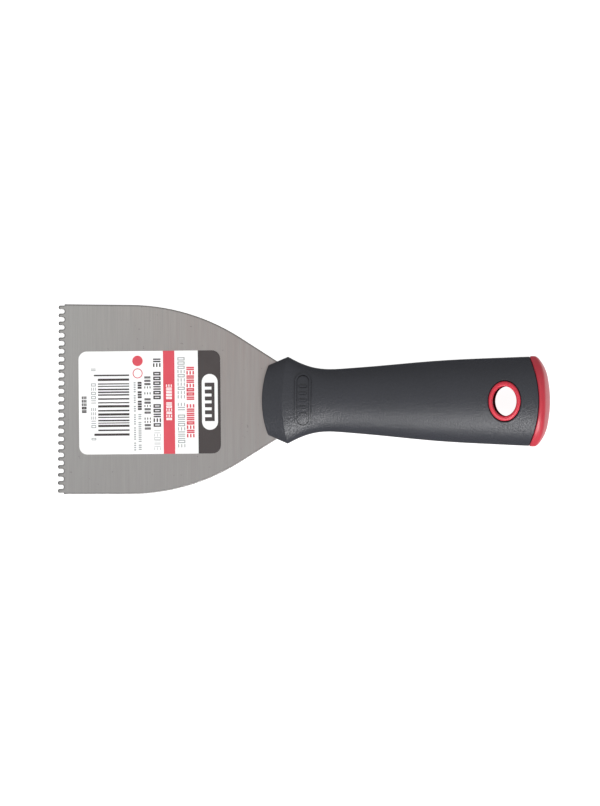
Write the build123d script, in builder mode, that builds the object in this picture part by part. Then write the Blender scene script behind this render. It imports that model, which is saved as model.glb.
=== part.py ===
from build123d import *
import os
from math import cos, radians, sin

# In-line adhesive spreader, in millimetres.
# Origin at the middle of the notched edge, at mid-thickness of the blade.
# +X runs along the tool to the butt, +Y across the blade, +Z out of the labelled face.

os.makedirs("parts", exist_ok=True)

# Blade
blade_thickness = 1.0
blade_half_width = 38.1
tooth_width = 1.5
notch_width = 1.7
notch_depth = 2.4
notch_count = 23
tooth_tip_radius = 0.65
notch_root_radius = 0.75
edge_round = 0.3
parallel_end_x = 29.2
parallel_taper = 0.2
shoulder_radius = 83.0
shoulder_angle = 32.0
tang_half_width = 8.0
tang_end_x = 160.0
tang_end_half_width = 6.5
lock_hole_radius = 3.0
lock_hole_xs = (114.0, 142.0)

# Handle body: distance from the notched edge, half width, half thickness
body_stations = (
    (80.0, 23.8, 6.7),
    (92.4, 17.4, 6.95),
    (98.0, 14.65, 7.15),
    (103.0, 13.1, 7.4),
    (109.2, 12.5, 7.75),
    (119.0, 13.1, 8.6),
    (135.0, 14.5, 10.2),
    (151.0, 15.95, 11.5),
    (167.0, 16.9, 12.2),
    (182.0, 17.55, 12.3),
    (199.0, 17.75, 12.0),
)
# Collar slopes down from the crest to the blade
collar_front_x = 82.2
collar_front_radius = 43.0
collar_stations = ((81.0, 12.5, 3.8), (106.0, 23.25, 12.05), (201.0, 30.0, 25.0))
crest_round = 0.5
collar_edge_round = 0.6

# Butt cap
seam_x = 193.5
seam_radius = 39.5
seam_bevel = 0.35
butt_x = 197.35
butt_radius = 48.0
butt_half_width = 22.6
butt_corner_radius = 16.0
butt_dome_radius = 42.0
butt_edge_round = 2.6
cap_proud = 0.2
prong_start_x = 181.0
prong_y = 10.8
prong_width = 4.4
prong_thickness = 5.0

# Hang hole
hole_x = 179.7
hole_radii = (4.75, 5.9)
sleeve_radii = (6.4, 7.9)
sleeve_proud = 0.45
sleeve_round = 0.8
hole_mouth_round = 0.6

# Core under the grip
core_inset = 2.6
core_front_x = 86.0
core_rear_x = 188.5

# Raised pill on the grip behind the crest
pill_x = 98.8
pill_length = 21.6
pill_width = 6.4
pill_line = 0.7
pill_height = 0.4
pill_bar_length = 2.8
pill_bar_pitch = 2.8
pill_bar_count = 5

# Label
label_centre = (36.88, -1.15)
label_size = (57.05, 41.3)
label_corner = 3.3
label_turn = 0.8
label_thickness = 0.15
ink_thickness = 0.03
header_width = 9.0
header_pill_x = 24.3
header_pill_length = 22.4
header_pill_width = 6.2
comb_depth = 3.4
comb_pitch = 2.6
comb_count = 5
band_x = 7.9
band_width = 4.8
mark_x = -4.6
mark_ys = (16.9, 11.7)
mark_radius = 2.1
code_x = -14.2
code_length = 12.8
code_bar = 0.45
code_first_y = 11.0
code_pitch = 1.2
code_bar_count = 20

notch_pitch = tooth_width + notch_width
teeth_half_span = (notch_count * notch_pitch + tooth_width) / 2


def oval_loft(stations, grow, ruled=False):
    """Solid through upright ovals centred on the X axis, grown outwards by a distance."""
    with BuildPart() as lofted:
        for x, half_width, half_thickness in stations:
            with BuildSketch(Plane.YZ.offset(x)):
                Ellipse(half_width + grow, half_thickness + grow)
        loft(ruled=ruled)
    return lofted.part


def oval_column(radii):
    """Upright oval column at the hang hole, taller than the handle."""
    with BuildPart() as column:
        with BuildSketch(Plane.XY.offset(-20)):
            with Locations((hole_x, 0)):
                Ellipse(radii[0], radii[1])
        extrude(amount=40)
    return column.part


def core_shape():
    """Outside of the core: the body and collar shrunk by the grip's thickness, with square ends."""
    with BuildPart() as shape:
        add(oval_loft(body_stations, -core_inset))
        add(oval_loft(collar_stations, -core_inset, ruled=True), mode=Mode.INTERSECT)
        with Locations(((core_front_x + core_rear_x) / 2, 0, 0)):
            Box(core_rear_x - core_front_x, 40, 40, mode=Mode.INTERSECT)
        add(oval_column(sleeve_radii), mode=Mode.SUBTRACT)
    return shape.part


def prong_shape():
    """Two square prongs that run forward from the cap, one on each side of the hang hole."""
    with BuildPart() as shape:
        with BuildSketch(Plane.YZ.offset(prong_start_x)):
            with Locations((-prong_y, 0), (prong_y, 0)):
                Rectangle(prong_width, prong_thickness)
        extrude(amount=seam_x - prong_start_x)
    return shape.part


def pill_shape():
    """Raised outline of a pill with plain bars inside, following the top of the body."""
    with BuildPart() as shape:
        with BuildSketch(Plane.XY):
            with Locations((pill_x, 0)):
                SlotOverall(pill_length, pill_width, rotation=90)
                inner_width = pill_width - 2 * pill_line
                SlotOverall(pill_length - 2 * pill_line, inner_width, rotation=90, mode=Mode.SUBTRACT)
                with GridLocations(0, pill_bar_pitch, 1, pill_bar_count):
                    Rectangle(pill_bar_length, pill_line)
        extrude(amount=20)
        add(oval_loft(body_stations, pill_height), mode=Mode.INTERSECT)
        add(oval_loft(body_stations, -1), mode=Mode.SUBTRACT)
    return shape.part


def domed_end():
    """Tall block behind the seam whose rounded end wall bulges towards mid-thickness."""
    with BuildPart() as block:
        for z in (-16, -8, 0, 8, 16):
            inset = z * z / (2 * butt_dome_radius)
            with BuildSketch(Plane.XY.offset(z)) as outline:
                with Locations((butt_x - butt_radius, 0)):
                    Circle(butt_radius - inset)
                with Locations((butt_x, 0)):
                    Rectangle(60, 2 * (butt_half_width - inset), mode=Mode.INTERSECT)
                fillet(outline.vertices().group_by(Axis.X)[-1], butt_corner_radius - inset)
        loft()
        with BuildSketch(Plane.XY.offset(-20)):
            with Locations((seam_x - seam_radius, 0)):
                Circle(seam_radius)
        extrude(amount=40, mode=Mode.SUBTRACT)
    return block.part


outer_body = oval_loft(body_stations, 0)
prongs = prong_shape()

# Blade: one sheet, notched at the front and running back into a tang
with BuildPart() as blade:
    with BuildSketch() as blade_outline:
        with BuildLine():
            side = Line((0, blade_half_width), (parallel_end_x, blade_half_width - parallel_taper))
            shoulder = JernArc(side @ 1, side % 1, shoulder_radius, -shoulder_angle)
            reach = ((shoulder @ 1).Y - tang_half_width) / sin(radians(shoulder_angle))
            neck = PolarLine(shoulder @ 1, reach, direction=shoulder % 1)
            tang_side = Line(neck @ 1, (tang_end_x, tang_end_half_width))
            Line(tang_side @ 1, (tang_end_x, 0))
            mirror(about=Plane.XZ)
            Line((0, -blade_half_width), (0, blade_half_width))
        make_face()
        with Locations((0, blade_half_width), (0, -blade_half_width)):
            step = 2 * (blade_half_width - teeth_half_span)
            Rectangle(2 * notch_depth, step, mode=Mode.SUBTRACT)
        with GridLocations(0, notch_pitch, 1, notch_count):
            RectangleRounded(2 * notch_depth, notch_width, notch_root_radius, mode=Mode.SUBTRACT)
        tooth_tips = blade_outline.vertices().group_by(Axis.X)[0]
        fillet(tooth_tips, tooth_tip_radius)
        with Locations([(x, 0) for x in lock_hole_xs]):
            Circle(lock_hole_radius, mode=Mode.SUBTRACT)
    extrude(amount=blade_thickness / 2, both=True)
    face_edges = blade.edges().filter_by(Axis.Z, reverse=True)
    fillet(face_edges, edge_round)
blade.part.label = "blade"
export_step(blade.part, "parts/blade.step")


# Butt cap: domed end of the body behind the seam, with two prongs that grip the core
with BuildPart() as butt_cap:
    add(oval_loft(body_stations, cap_proud))
    add(domed_end(), mode=Mode.INTERSECT)
    seam_face = butt_cap.faces().filter_by(GeomType.CYLINDER)[0]
    rims = butt_cap.edges() - seam_face.edges()
    rims = rims.filter_by(lambda edge: edge.bounding_box().size.Y > 1)
    end_rims = rims.filter_by(lambda edge: edge.bounding_box().size.Z > 1)
    fillet(end_rims, butt_edge_round)
    seam_face = butt_cap.faces().filter_by(GeomType.CYLINDER).sort_by(SortBy.AREA)[-1]
    chamfer(seam_face.edges(), seam_bevel)
    add(prongs)
butt_cap.part.label = "butt_cap"
export_step(butt_cap.part, "parts/butt_cap.step")

# Hang-hole sleeve: oval tube through the handle with a rounded lip standing proud on both faces
with BuildPart() as hang_hole_grommet:
    add(oval_column(sleeve_radii))
    add(oval_column(hole_radii), mode=Mode.SUBTRACT)
    add(oval_loft(body_stations, sleeve_proud), mode=Mode.INTERSECT)
    lips = hang_hole_grommet.edges().filter_by(lambda edge: abs(edge.center().Z) > 5)
    fillet(lips, sleeve_round)
hang_hole_grommet.part.label = "hang_hole_grommet"
export_step(hang_hole_grommet.part, "parts/hang_hole_grommet.step")

# Handle core: rigid body moulded round the tang, filling its lock holes
with BuildPart() as handle_core:
    add(core_shape())
    add(blade.part, mode=Mode.SUBTRACT)
    add(prongs, mode=Mode.SUBTRACT)
handle_core.part.label = "handle_core"
export_step(handle_core.part, "parts/handle_core.step")

# Grip: over-mould between the collar front and the seam, with a raised pill behind the crest
with BuildPart() as handle_grip:
    add(outer_body)
    add(oval_loft(collar_stations, 0, ruled=True), mode=Mode.INTERSECT)
    crest = handle_grip.edges().filter_by(GeomType.LINE, reverse=True).filter_by_position(Axis.X, 86, 96)
    fillet(crest, crest_round)
    with BuildSketch(Plane.XY.offset(-20)):
        with Locations((collar_front_x + collar_front_radius, 0)):
            Circle(collar_front_radius)
        with Locations((seam_x - seam_radius, 0)):
            Circle(seam_radius)
        make_hull()
    extrude(amount=40, mode=Mode.INTERSECT)
    front_rim = handle_grip.edges().filter_by(GeomType.LINE, reverse=True).group_by(Axis.X)[0]
    fillet(front_rim, collar_edge_round)
    rear_rim = handle_grip.edges().filter_by(GeomType.LINE, reverse=True).group_by(Axis.X)[-1]
    chamfer(rear_rim, seam_bevel)
    add(oval_column(sleeve_radii), mode=Mode.SUBTRACT)
    hole_mouths = handle_grip.edges().filter_by(lambda edge: abs(edge.center().Z) > 5)
    hole_mouths = hole_mouths.filter_by_position(Axis.X, hole_x - 1, hole_x + 1)
    fillet(hole_mouths, hole_mouth_round)
    add(pill_shape())
    add(core_shape(), mode=Mode.SUBTRACT)
    add(blade.part, mode=Mode.SUBTRACT)
    add(prongs, mode=Mode.SUBTRACT)
handle_grip.part.label = "handle_grip"
export_step(handle_grip.part, "parts/handle_grip.step")

# Label: rounded paper sheet stuck flat on the blade, with three thin layers of ink on it
label_plane = Plane(
    origin=(label_centre[0], label_centre[1], blade_thickness / 2),
    x_dir=(cos(radians(label_turn)), sin(radians(label_turn)), 0),
    z_dir=(0, 0, 1),
)
ink_plane = label_plane.offset(label_thickness)

with BuildPart() as blade_label:
    with BuildSketch(label_plane):
        RectangleRounded(label_size[0], label_size[1], label_corner)
    extrude(amount=label_thickness)
blade_label.part.label = "blade_label"
export_step(blade_label.part, "parts/blade_label.step")


def word_row(x, height, start, lengths, gap):
    """Centres and sizes of the word bars of one text row that reads towards -Y."""
    bars = []
    for length in lengths:
        bars.append(((x, start - length / 2), (height, length)))
        start = start - length - gap
    return bars


dark_words = (
    word_row(3.3, 2.9, 17.6, (2.0, 11.0, 10.6), 1.6)
    + word_row(-0.4, 2.4, 10.6, (5.6, 1.4, 6.0, 5.6), 1.0)
    + word_row(-3.7, 1.3, 8.4, (9.6, 10.4), 1.6)
    + word_row(-26.0, 2.2, 3.0, (7.0,), 0)
)
grey_words = (
    word_row(13.1, 2.9, 18.2, (15.4, 3.2, 14.0), 1.8)
    + word_row(3.3, 2.4, -11.6, (7.4,), 0)
    + word_row(-5.7, 0.9, 8.4, (3.0, 5.6, 4.4, 6.4, 3.6), 1.0)
)
red_words = word_row(16.6, 3.1, 14.6, (13.2, 13.6), 2.0)

with BuildPart() as label_print_dark:
    with BuildSketch(ink_plane):
        with Locations((label_size[0] / 2 - header_width / 2, 0)):
            Rectangle(header_width, label_size[1])
        RectangleRounded(label_size[0], label_size[1], label_corner, mode=Mode.INTERSECT)
        with Locations((header_pill_x, 0)):
            SlotOverall(header_pill_length, header_pill_width, rotation=90, mode=Mode.SUBTRACT)
            with GridLocations(0, comb_pitch, 1, comb_count):
                Rectangle(comb_depth, comb_pitch / 2)
        for place, size in dark_words:
            with Locations(place):
                Rectangle(size[0], size[1])
        for index in range(code_bar_count):
            with Locations((code_x, code_first_y - index * code_pitch)):
                Rectangle(code_length, code_bar)
    extrude(amount=ink_thickness)
label_print_dark.part.label = "label_print_dark"
export_step(label_print_dark.part, "parts/label_print_dark.step")

with BuildPart() as label_print_red:
    with BuildSketch(ink_plane):
        with Locations((band_x, 0)):
            Rectangle(band_width, label_size[1])
        for place, size in red_words:
            with Locations(place):
                Rectangle(size[0], size[1])
        with Locations((mark_x, mark_ys[0])):
            Circle(mark_radius)
        with Locations((mark_x, mark_ys[1])):
            Circle(mark_radius)
            Circle(mark_radius - 0.6, mode=Mode.SUBTRACT)
    extrude(amount=ink_thickness)
label_print_red.part.label = "label_print_red"
export_step(label_print_red.part, "parts/label_print_red.step")

with BuildPart() as label_print_grey:
    with BuildSketch(ink_plane):
        for place, size in grey_words:
            with Locations(place):
                Rectangle(size[0], size[1])
    extrude(amount=ink_thickness)
label_print_grey.part.label = "label_print_grey"
export_step(label_print_grey.part, "parts/label_print_grey.step")
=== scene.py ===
import math
import random

import bpy
from mathutils import Matrix, Vector


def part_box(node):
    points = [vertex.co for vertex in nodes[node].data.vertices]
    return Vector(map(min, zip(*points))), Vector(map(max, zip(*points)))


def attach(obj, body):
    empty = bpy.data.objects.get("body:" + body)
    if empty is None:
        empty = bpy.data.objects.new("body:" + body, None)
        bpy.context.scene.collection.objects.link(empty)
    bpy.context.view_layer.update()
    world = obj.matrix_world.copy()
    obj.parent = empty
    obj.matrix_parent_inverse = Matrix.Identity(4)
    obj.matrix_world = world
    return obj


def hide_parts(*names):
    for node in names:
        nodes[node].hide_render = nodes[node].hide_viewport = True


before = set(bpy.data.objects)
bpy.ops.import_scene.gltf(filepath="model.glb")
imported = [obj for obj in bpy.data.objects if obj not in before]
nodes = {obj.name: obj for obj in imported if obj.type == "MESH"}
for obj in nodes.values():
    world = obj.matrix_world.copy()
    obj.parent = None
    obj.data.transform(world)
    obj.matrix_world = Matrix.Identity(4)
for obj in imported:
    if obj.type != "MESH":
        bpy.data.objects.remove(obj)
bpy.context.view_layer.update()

MM = 0.001


# ---------------------------------------------------------------- shader helpers

def material(name):
    """A new node material: returns it with its node tree and its Principled shader."""
    made = bpy.data.materials.new(name)
    made.use_nodes = True
    return made, made.node_tree, made.node_tree.nodes["Principled BSDF"]


def node(tree, kind, **values):
    """A node of that kind, with its settings and input values set by name."""
    made = tree.nodes.new(kind)
    for key, value in values.items():
        if key in made.inputs:
            made.inputs[key].default_value = value
        else:
            setattr(made, key, value)
    return made


def object_point(tree, scale=(1, 1, 1)):
    """The object's own coordinates in millimetres. A scale under 1 draws a pattern out."""
    place = node(tree, "ShaderNodeTexCoord")
    mapping = node(tree, "ShaderNodeMapping", Scale=[s / MM for s in scale])
    tree.links.new(place.outputs["Object"], mapping.inputs["Vector"])
    return mapping.outputs["Vector"]


def separate(tree, vector):
    """The X, Y and Z sockets of a vector socket."""
    made = node(tree, "ShaderNodeSeparateXYZ")
    tree.links.new(vector, made.inputs[0])
    return made.outputs


def noise(tree, point, size, detail=3.0, roughness=0.5):
    """Noise whose features are about size millimetres across."""
    made = node(tree, "ShaderNodeTexNoise", Scale=1.0 / size, Detail=detail, Roughness=roughness)
    tree.links.new(point, made.inputs["Vector"])
    return made.outputs["Fac"]


def remap(tree, value, span, result=(0, 1), smooth=False):
    """value moved from the range span to the range result and held inside it."""
    made = node(tree, "ShaderNodeMapRange")
    if smooth:
        made.interpolation_type = "SMOOTHSTEP"
    for key, number in zip(("From Min", "From Max", "To Min", "To Max"), (*span, *result)):
        made.inputs[key].default_value = number
    tree.links.new(value, made.inputs["Value"])
    return made.outputs["Result"]


def math_node(tree, operation, first, second=0):
    """Arithmetic on two sockets, or on a socket and a number."""
    made = node(tree, "ShaderNodeMath", operation=operation)
    for socket, value in zip(made.inputs, (first, second)):
        if isinstance(value, (int, float)):
            socket.default_value = value
        else:
            tree.links.new(value, socket)
    return made.outputs[0]


def blend(tree, share, first, second):
    """Colour first changed to second by share. Either may be a colour or a socket."""
    made = node(tree, "ShaderNodeMix", data_type="RGBA")
    tree.links.new(share, made.inputs[0])
    for socket, colour in ((made.inputs[6], first), (made.inputs[7], second)):
        if isinstance(colour, tuple):
            socket.default_value = (*colour, 1)
        else:
            tree.links.new(colour, socket)
    return made.outputs[2]


def occlusion(tree, reach, **settings):
    """How open the space is within reach millimetres, 1 where nothing is near.

    With inside=True it looks into the solid instead, and is low near an edge.
    """
    made = node(tree, "ShaderNodeAmbientOcclusion", Distance=reach * MM, samples=8, **settings)
    return made.outputs["AO"]


def bump(tree, shader, heights):
    """Chains bumps into the shader's normal: heights is a list of (socket, distance in mm)."""
    normal = None
    for height, distance in heights:
        made = node(tree, "ShaderNodeBump", Strength=1.0, Distance=distance * MM)
        tree.links.new(height, made.inputs["Height"])
        if normal:
            tree.links.new(normal, made.inputs["Normal"])
        normal = made.outputs["Normal"]
    tree.links.new(normal, shader.inputs["Normal"])


def depth_from_middle(tree, point):
    """Distance in millimetres from the tool's middle plane."""
    return math_node(tree, "ABSOLUTE", separate(tree, point)["Z"])


# ---------------------------------------------------------------- materials

# Lengths are in millimetres. Colours are linear red, green and blue. TONES are the lighter and
# the darker tone of one mottled material, and a FADE is where a colour starts and ends changing.
MOST_NOISE = (0.3, 0.7)

# The blade's colour is painted darker and warmer towards the handle and darker towards -Y: painted shade.
STEEL_AT_TEETH = (0.455, 0.45, 0.433)
STEEL_PAINTED_SHADE_AT_HANDLE = (0.39, 0.32, 0.30)
STEEL_PAINTED_SHADE_TOWARDS_MINUS_Y = (0.36, 0.35, 0.345)
STEEL_BAND = (0.47, 0.465, 0.455)
STEEL_STREAK = (0.33, 0.32, 0.315)
STEEL_CLOUD = (0.38, 0.37, 0.365)
STEEL_SPECK = (0.2, 0.19, 0.185)
# This colour darkens the blade's rounded edges: painted shade.
STEEL_PAINTED_EDGE_SHADE = (0.045, 0.043, 0.041)
STEEL_ROUGHNESS = (0.3, 0.44)
STREAK_DEPTH = 0.006
BAND_DEPTH = 0.004
FADE_ALONG_X = (5, 85)
FADE_ALONG_Y = (38, -38)
EDGE_REACH = 0.7

GRIP_TONES = ((0.0195, 0.021, 0.0285), (0.017, 0.0185, 0.025))
GRIP_GRAIN = (0.032, 0.034, 0.042)
# This colour darkens the grip's creases and recesses, where their specular level is also lowered: painted
# shade.
GRIP_PAINTED_CREASE_SHADE = (0.006, 0.006, 0.008)
GRIP_ROUGHNESS = (0.3, 0.48)
GRIP_SPECULAR = 0.58
CREASE_SPECULAR = 0.15
CREASE_REACH = 0.9
GRAIN_DEPTH = 0.2
PARTING_DEPTH = 0.06
PARTING_LINE = (0.06, 0.22)

TRIM_TONES = ((0.475, 0.027, 0.047), (0.435, 0.022, 0.039))
SLEEVE_TONES = ((0.60, 0.031, 0.056), (0.54, 0.027, 0.048))
SLEEVE_SHADE = (0.05, 0.004, 0.008)
SLEEVE_SHADE_FADE = 4.5
SLEEVE_LIP = 0.8
SLEEVE_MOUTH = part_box("hang_hole_grommet")[1].z / MM - SLEEVE_LIP
RED_ROUGHNESS = (0.34, 0.42)
RED_GRAIN_DEPTH = 0.01

PAPER_TONES = ((0.88, 0.88, 0.88), (0.86, 0.86, 0.86))
DARK_INK_TONES = ((0.045, 0.036, 0.036), (0.040, 0.032, 0.032))
RED_INK_TONES = ((0.62, 0.064, 0.09), (0.60, 0.060, 0.085))
GREY_INK_TONES = ((0.36, 0.37, 0.37), (0.33, 0.34, 0.34))
PRINT_ROUGHNESS = (0.4, 0.53)
FIBRE_DEPTH = 0.006


def brushed_steel():
    """Satin spring steel: fine brushing and a few specks, with painted shade towards the handle, towards
    -Y and on the edges.
    """
    made, tree, shader = material("brushed_spring_steel")
    point = object_point(tree)
    streaks = noise(tree, object_point(tree, (1, 0.02, 1)), size=0.5, detail=4, roughness=0.7)
    bands = noise(tree, object_point(tree, (1, 0.05, 1)), size=1.6, detail=3, roughness=0.6)
    clouds = noise(tree, point, size=30, detail=2)
    specks = noise(tree, point, size=1.3, detail=2, roughness=0.4)
    place = separate(tree, point)
    # Painted shade: the steel darkens towards the handle and towards -Y.
    colour = blend(tree, remap(tree, place["X"], FADE_ALONG_X), STEEL_AT_TEETH, STEEL_PAINTED_SHADE_AT_HANDLE)
    for share, tint in (
        (remap(tree, place["Y"], FADE_ALONG_Y, (0, 0.8)), STEEL_PAINTED_SHADE_TOWARDS_MINUS_Y),
        (remap(tree, bands, MOST_NOISE, (0, 0.4)), STEEL_BAND),
        (remap(tree, streaks, (0.38, 0.66), (0, 0.5)), STEEL_STREAK),
        (remap(tree, clouds, (0.35, 0.75), (0, 0.3)), STEEL_CLOUD),
        (remap(tree, specks, (0.72, 0.78), (0, 0.5)), STEEL_SPECK),
    ):
        colour = blend(tree, share, colour, tint)
    # Painted shade: sloping rounded edges and places near an edge are darkened.
    normal = node(tree, "ShaderNodeNewGeometry").outputs["Normal"]
    upright = math_node(tree, "ABSOLUTE", separate(tree, normal)["Z"])
    rolled_edge_shade = remap(tree, upright, (0.7, 0.99), (0.92, 0))
    thickness = occlusion(tree, EDGE_REACH, inside=True, only_local=True)
    near_edge_shade = remap(tree, thickness, (0.62, 0.97), (0.88, 0))
    colour = blend(tree, math_node(tree, "MAXIMUM", rolled_edge_shade, near_edge_shade), colour, STEEL_PAINTED_EDGE_SHADE)
    tree.links.new(colour, shader.inputs["Base Color"])
    tree.links.new(remap(tree, streaks, (0.2, 0.8), STEEL_ROUGHNESS), shader.inputs["Roughness"])
    shader.inputs["Metallic"].default_value = 1.0
    bump(tree, shader, [(streaks, STREAK_DEPTH), (bands, BAND_DEPTH)])
    return made


def grip_plastic():
    """Matt moulded grip: pebbled grain, faint scuffs and a parting line, with painted shade in its
    creases.
    """
    made, tree, shader = material("black_grip_plastic")
    point = object_point(tree)
    light, dark = GRIP_TONES
    grain = noise(tree, point, size=0.75, detail=3, roughness=0.65)
    clouds = noise(tree, point, size=14, detail=3)
    scuffs = noise(tree, object_point(tree, (0.25, 1, 1)), size=1.1, detail=4, roughness=0.6)
    # Painted shade: creases and the corners beside raised marks are darkened, and their reflections
    # dimmed.
    painted_crease_shade = remap(tree, occlusion(tree, CREASE_REACH), (0.5, 0.9), (0.9, 0))
    colour = blend(tree, remap(tree, clouds, MOST_NOISE), dark, light)
    colour = blend(tree, remap(tree, grain, (0.35, 0.75), (0, 0.25)), colour, GRIP_GRAIN)
    colour = blend(tree, painted_crease_shade, colour, GRIP_PAINTED_CREASE_SHADE)
    tree.links.new(colour, shader.inputs["Base Color"])
    rough = remap(tree, grain, MOST_NOISE, GRIP_ROUGHNESS)
    worn = remap(tree, scuffs, (0.58, 0.72), (0, 0.05))
    tree.links.new(math_node(tree, "SUBTRACT", rough, worn), shader.inputs["Roughness"])
    specular = remap(tree, painted_crease_shade, (0, 1), (GRIP_SPECULAR, CREASE_SPECULAR))
    tree.links.new(specular, shader.inputs["Specular IOR Level"])
    parting = remap(tree, depth_from_middle(tree, point), PARTING_LINE, smooth=True)
    bump(tree, shader, [(grain, GRAIN_DEPTH), (parting, PARTING_DEPTH)])
    return made


def red_plastic(name, tones, mouth=None):
    """Satin red trim. Nearer than mouth millimetres to the middle plane a hole's wall is in shade."""
    made, tree, shader = material(name)
    point = object_point(tree)
    light, dark = tones
    grain = noise(tree, point, size=0.6, detail=2)
    clouds = noise(tree, point, size=9, detail=3)
    colour = blend(tree, remap(tree, clouds, MOST_NOISE), dark, light)
    if mouth:
        lit = remap(tree, depth_from_middle(tree, point), (mouth - SLEEVE_SHADE_FADE, mouth))
        colour = blend(tree, lit, SLEEVE_SHADE, colour)
        tree.links.new(remap(tree, lit, (0.8, 1), (0, 0.5)), shader.inputs["Specular IOR Level"])
    tree.links.new(colour, shader.inputs["Base Color"])
    tree.links.new(remap(tree, grain, MOST_NOISE, RED_ROUGHNESS), shader.inputs["Roughness"])
    bump(tree, shader, [(grain, RED_GRAIN_DEPTH)])
    return made


def printed(name, tones):
    """Paper or ink: a colour with faint fibre and print mottle."""
    made, tree, shader = material(name)
    point = object_point(tree)
    light, dark = tones
    fibre = noise(tree, point, size=0.5, detail=4, roughness=0.7)
    mottle = noise(tree, point, size=5, detail=2)
    tree.links.new(blend(tree, remap(tree, mottle, MOST_NOISE), light, dark), shader.inputs["Base Color"])
    tree.links.new(remap(tree, fibre, MOST_NOISE, PRINT_ROUGHNESS), shader.inputs["Roughness"])
    bump(tree, shader, [(fibre, FIBRE_DEPTH)])
    return made


def dress(name, made):
    """Puts a material on every slot of a CAD node."""
    mesh = nodes[name].data
    mesh.materials.clear()
    mesh.materials.append(made)


trim = red_plastic("red_trim_plastic", TRIM_TONES)
dress("blade", brushed_steel())
dress("handle_grip", grip_plastic())
dress("handle_core", trim)
dress("butt_cap", trim)
dress("hang_hole_grommet", red_plastic("red_sleeve_plastic", SLEEVE_TONES, SLEEVE_MOUTH))
dress("blade_label", printed("label_paper", PAPER_TONES))


# ---------------------------------------------------------------- outlines of the label print

# Places on the label are in millimetres from its middle: u towards the handle, v across the
# blade. The print reads towards -v. No line has lettering: each letter is a plain mark.
LABEL_TURN = math.radians(0.8)
LABEL_HALF_LENGTH = 28.525
LABEL_HALF_WIDTH = 20.65
LABEL_CORNER = 3.3
INK = 0.03
HEADER_BACK = 19.5
CORNER_STEPS = 8
WORD_GAP = 0.8

label_low, label_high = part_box("blade_label")
label_middle = (label_low + label_high) / 2
marks = random.Random(4)


def outline(u, v, length, width, radius=0.0, steps=CORNER_STEPS):
    """Loop round a rectangle centred at u, v, with its corners rounded."""
    if not radius:
        return [(u + a * length / 2, v + b * width / 2) for a, b in ((-1, -1), (1, -1), (1, 1), (-1, 1))]
    loop = []
    for corner, (a, b) in enumerate(((1, 1), (-1, 1), (-1, -1), (1, -1))):
        for step in range(steps + 1):
            turn = math.pi / 2 * (corner + step / steps)
            loop.append((
                u + a * (length / 2 - radius) + radius * math.cos(turn),
                v + b * (width / 2 - radius) + radius * math.sin(turn),
            ))
    return loop


def disc(u, v, radius):
    """Round loop, its corner radius a touch short of the full radius so that no points coincide."""
    return outline(u, v, 2 * radius, 2 * radius, radius * 0.999, steps=12)


def mark(u, v, height, width, stroke):
    """Loops of one plain mark that fills a letter's place."""
    kind = marks.choice(("frame", "posts", "dashes", "frame", "posts"))
    if kind == "frame":
        return [outline(u, v, height, width), outline(u, v, height - 2 * stroke, width - 2 * stroke)]
    if kind == "posts":
        offset = (width - stroke) / 2
        return [outline(u, v - offset, height, stroke), outline(u, v + offset, height, stroke)]
    rise = (height - stroke) / 2
    return [outline(u + step * rise, v, stroke, width) for step in (-1, 0, 1)]


def text_line(u, height, start, end, words, stroke=0.0, filled=0.78):
    """Loops of a line of marks from v start to v end. words holds the letters in each word.

    filled is the share of each letter's place that its mark takes. Without a stroke the marks
    are solid.
    """
    pitch = (start - end) / (sum(words) + WORD_GAP * (len(words) - 1))
    loops = []
    v = start - pitch / 2
    for letters in words:
        for _ in range(letters):
            if stroke:
                loops += mark(u, v, height, pitch * filled, stroke)
            else:
                loops.append(outline(u, v, height, pitch * filled))
            v -= pitch
        v -= WORD_GAP * pitch
    return loops


def header_panel():
    """Loop of the dark end panel, which follows two of the label's rounded corners."""
    loop = [(HEADER_BACK, -LABEL_HALF_WIDTH), (HEADER_BACK, LABEL_HALF_WIDTH)]
    for side, first_turn in ((1, math.pi / 2), (-1, 0)):
        for step in range(CORNER_STEPS + 1):
            turn = first_turn - math.pi / 2 * step / CORNER_STEPS
            loop.append((
                LABEL_HALF_LENGTH - LABEL_CORNER + LABEL_CORNER * math.cos(turn),
                side * (LABEL_HALF_WIDTH - LABEL_CORNER) + LABEL_CORNER * math.sin(turn),
            ))
    return loop


def header_loops():
    """The end panel with a pill left clear in it, and in the pill a comb like the notched edge."""
    pill_u = 24.2
    pill = outline(pill_u, 0, 6.4, 22.4, radius=3.19)
    comb_back = pill_u + 1.9
    spine = pill_u + 0.7
    tip = pill_u - 2.0
    half_comb = 7.7
    tooth_pitch = 2.76
    tooth_width = 1.6
    comb = [(comb_back, -half_comb), (comb_back, half_comb)]
    for tooth in range(6):
        start = half_comb - tooth_pitch * tooth
        end = start - tooth_width
        comb += [(spine, start), (tip, start), (tip, end), (spine, end)]
    return [header_panel(), pill, comb]


def code_loops():
    """Plain bars of uneven width that code nothing. The outermost ones are longer."""
    middle_u = -14.5
    bar_length = 12.6
    extra_length = 1.6
    first_v = 11.3
    last_v = -12.7
    shorter_from_v = 10
    shorter_to_v = -11.4
    loops = []
    v = first_v
    while v > last_v:
        width = marks.choice((0.4, 0.45, 0.6, 0.9))
        extra = 0.0 if shorter_to_v <= v <= shorter_from_v else extra_length
        loops.append(outline(middle_u - extra / 2, v - width / 2, bar_length + extra, width))
        v -= width + marks.choice((0.5, 0.75, 1.0))
    return loops


# ---------------------------------------------------------------- label print

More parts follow.
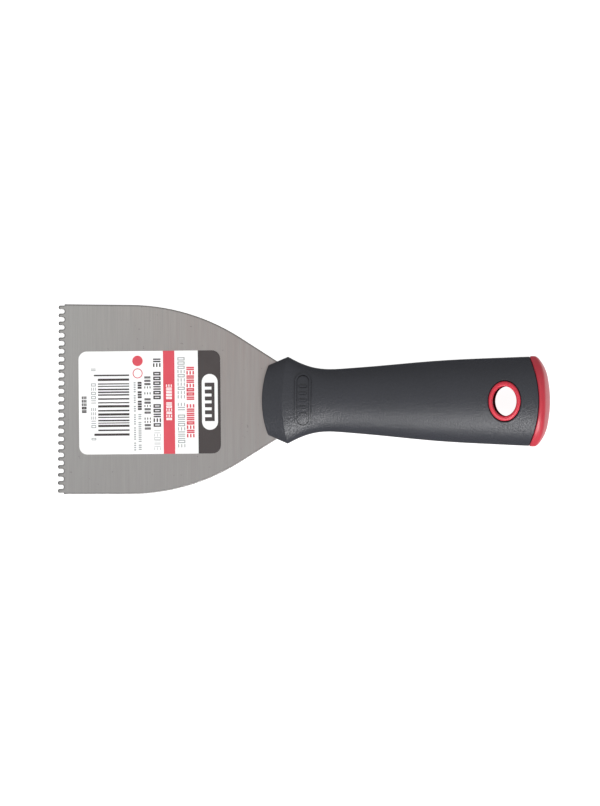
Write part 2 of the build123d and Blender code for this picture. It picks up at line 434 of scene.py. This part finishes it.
def ink(name, loops, replaced, made):
    """One flat layer of ink from outline loops. A loop inside another is a hole in it."""
    curve = bpy.data.curves.new(name, "CURVE")
    curve.dimensions = "2D"
    curve.fill_mode = "BOTH"
    curve.extrude = INK / 2 * MM
    for loop in loops:
        spline = curve.splines.new("POLY")
        spline.points.add(len(loop) - 1)
        spline.use_cyclic_u = True
        for point, (u, v) in zip(spline.points, loop):
            point.co = (u * MM, v * MM, 0, 1)
    drawn = bpy.data.objects.new(name + "_outline", curve)
    bpy.context.scene.collection.objects.link(drawn)
    mesh = bpy.data.meshes.new_from_object(drawn.evaluated_get(bpy.context.evaluated_depsgraph_get()))
    bpy.data.objects.remove(drawn)
    place = Matrix.Translation((label_middle.x, label_middle.y, label_high.z + INK / 2 * MM))
    mesh.transform(place @ Matrix.Rotation(LABEL_TURN, 4, "Z"))
    mesh.materials.clear()
    mesh.materials.append(made)
    piece = bpy.data.objects.new(name, mesh)
    bpy.context.scene.collection.objects.link(piece)
    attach(piece, "root")
    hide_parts(replaced)


def dark_loops():
    """Header panel, size line, note, short line, the mark below the code, and the code itself."""
    return (
        header_loops()
        + text_line(3.0, 3.0, start=17.8, end=-10.0, words=(2, 6, 5), stroke=0.56)
        + text_line(-0.85, 2.5, start=10.7, end=-11.1, words=(4, 1, 5, 4), stroke=0.38, filled=0.62)
        + text_line(-4.0, 1.6, start=8.4, end=-3.1, words=(3, 3, 4))
        + text_line(-26.4, 1.9, start=2.8, end=-4.1, words=(5,), stroke=0.5)
        + code_loops()
    )


def red_loops():
    """Band with its line left clear, title, and the disc and ring beside the notes."""
    band_u = 7.8
    disc_u = -4.75
    return (
        [outline(band_u, 0, 4.6, 2 * LABEL_HALF_WIDTH)]
        + text_line(band_u, 2.3, start=7.3, end=-7.3, words=(5, 6), stroke=0.42)
        + text_line(16.4, 3.1, start=14.3, end=-14.3, words=(8, 8), stroke=0.62, filled=0.82)
        + [disc(disc_u, 16.7, 2.1), disc(disc_u, 11.7, 2.0), disc(disc_u, 11.7, 1.65)]
    )


def grey_loops():
    """Second title, end of the size line, two lines of fine print, and the figures by the code."""
    return (
        text_line(12.75, 2.9, start=18.2, end=-18.3, words=(10, 2, 8), stroke=0.4)
        + text_line(3.0, 2.5, start=-11.1, end=-19.2, words=(6,), stroke=0.18)
        + text_line(-4.0, 1.2, start=-4.4, end=-19.2, words=(3, 10, 3), filled=0.6)
        + text_line(-6.0, 0.8, start=8.4, end=-19.4, words=(5, 4, 3, 5, 6, 4), filled=0.6)
        + text_line(-22.6, 1.9, start=13.9, end=12.7, words=(1,), stroke=0.32)
        + text_line(-22.6, 1.9, start=8.1, end=-10.3, words=(5, 5), stroke=0.32, filled=0.72)
        + text_line(-22.6, 1.9, start=-13.9, end=-15.1, words=(1,), stroke=0.32)
    )


# The three stay in this order, because they share one random sequence of marks.
ink("label_ink_dark", dark_loops(), "label_print_dark", printed("ink_dark", DARK_INK_TONES))
ink("label_ink_red", red_loops(), "label_print_red", printed("ink_red", RED_INK_TONES))
ink("label_ink_grey", grey_loops(), "label_print_grey", printed("ink_grey", GREY_INK_TONES))


# ---------------------------------------------------------------- floor

# The tool lies on its tooth tips and the belly of its handle, so the floor is tilted to it.
# From here on places are in metres and angles in degrees.
FLOOR_SIZE = 6
FLOOR_DARK = (0.28, 0.28, 0.28)
FLOOR_LIGHT = (0.32, 0.32, 0.32)
FLOOR_GLOW = 0.95

tip_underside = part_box("blade")[0].z
belly_slope = max((tip_underside - v.co.z) / v.co.x for v in nodes["handle_grip"].data.vertices)
floor_turn = Matrix.Rotation(math.atan(belly_slope), 4, "Y")
floor_normal = (floor_turn @ Vector((0, 0, 1))).normalized()
along_tool = (floor_turn @ Vector((1, 0, 0))).normalized()
across_tool = Vector((0, 1, 0))


def on_floor(x, y, height):
    """A point x, y metres from the notched edge, measured over the floor, and height above it."""
    return Vector((0, 0, tip_underside)) + along_tool * x + across_tool * y + floor_normal * height


def floor_paper():
    """White backdrop paper, lit from within so that it stays white and lights the underside."""
    made, tree, shader = material("floor_paper")
    wash = noise(tree, object_point(tree), size=400, detail=2)
    tree.links.new(blend(tree, wash, FLOOR_DARK, FLOOR_LIGHT), shader.inputs["Base Color"])
    shader.inputs["Roughness"].default_value = 0.9
    shader.inputs["Specular IOR Level"].default_value = 0.0
    shader.inputs["Emission Color"].default_value = (1, 1, 1, 1)
    shader.inputs["Emission Strength"].default_value = FLOOR_GLOW
    return made


bpy.ops.mesh.primitive_plane_add(size=FLOOR_SIZE)
floor = bpy.context.object
floor.name = "floor"
floor.matrix_world = Matrix.Translation(on_floor(0.098, 0, 0)) @ floor_turn
floor.data.materials.append(floor_paper())
floor.visible_glossy = False


# ---------------------------------------------------------------- light

world = bpy.data.worlds.new("studio")
bpy.context.scene.world = world
world.use_nodes = True
sky = world.node_tree
ray = node(sky, "ShaderNodeTexCoord").outputs["Generated"]


def towards(azimuth, elevation):
    """Unit vector over the floor: azimuth 0 is along the tool to the butt, 90 across it to +Y."""
    flat = math.cos(math.radians(elevation))
    turn = math.radians(azimuth)
    return (
        along_tool * math.cos(turn) * flat
        + across_tool * math.sin(turn) * flat
        + floor_normal * math.sin(math.radians(elevation))
    )


def facing(centre):
    """How far the sky direction points towards centre: the cosine between them."""
    made = node(sky, "ShaderNodeVectorMath", operation="DOT_PRODUCT")
    sky.links.new(ray, made.inputs[0])
    made.inputs[1].default_value = centre
    return made.outputs["Value"]


def glow(azimuth, elevation, inner, outer, strength):
    """A soft round patch of light in the sky, fading out between two angles from its centre."""
    fade = (math.cos(math.radians(outer)), math.cos(math.radians(inner)))
    return remap(sky, facing(towards(azimuth, elevation)), fade, (0, strength), smooth=True)


overhead = remap(sky, facing(floor_normal), (-0.9, 1.0), (0.1, 0.82))
side = remap(sky, facing(across_tool), (-1.0, 1.0), (0.04, -0.07))
key = glow(azimuth=-84, elevation=42, inner=8, outer=18, strength=14.8)
end_fill = glow(azimuth=0, elevation=-58, inner=10, outer=40, strength=0.9)
broad = math_node(sky, "ADD", overhead, side)
patches = math_node(sky, "ADD", key, end_fill)
background = sky.nodes["Background"]
background.inputs["Color"].default_value = (1, 1, 1, 1)
sky.links.new(math_node(sky, "ADD", broad, patches), background.inputs["Strength"])


# ---------------------------------------------------------------- camera

# Straight down on the labelled face from far off, so that there is almost no perspective.
VIEW_DISTANCE = 3.0
VIEW_HEIGHT = 0.3235
VIEW_CENTRE = (0.09695, -0.0011)
VIEW_ROLL = 0.25

camera = bpy.data.cameras.new("camera")
camera.lens = camera.sensor_width * VIEW_DISTANCE / VIEW_HEIGHT
camera.clip_end = 20
viewer = bpy.data.objects.new("camera", camera)
facing_down = Matrix((along_tool, across_tool, floor_normal)).transposed().to_4x4()
middle = Matrix.Translation(on_floor(*VIEW_CENTRE, VIEW_DISTANCE))
viewer.matrix_world = middle @ facing_down @ Matrix.Rotation(math.radians(VIEW_ROLL), 4, "Z")
bpy.context.scene.collection.objects.link(viewer)
bpy.context.scene.camera = viewer
bpy.context.scene.view_settings.view_transform = "Standard"
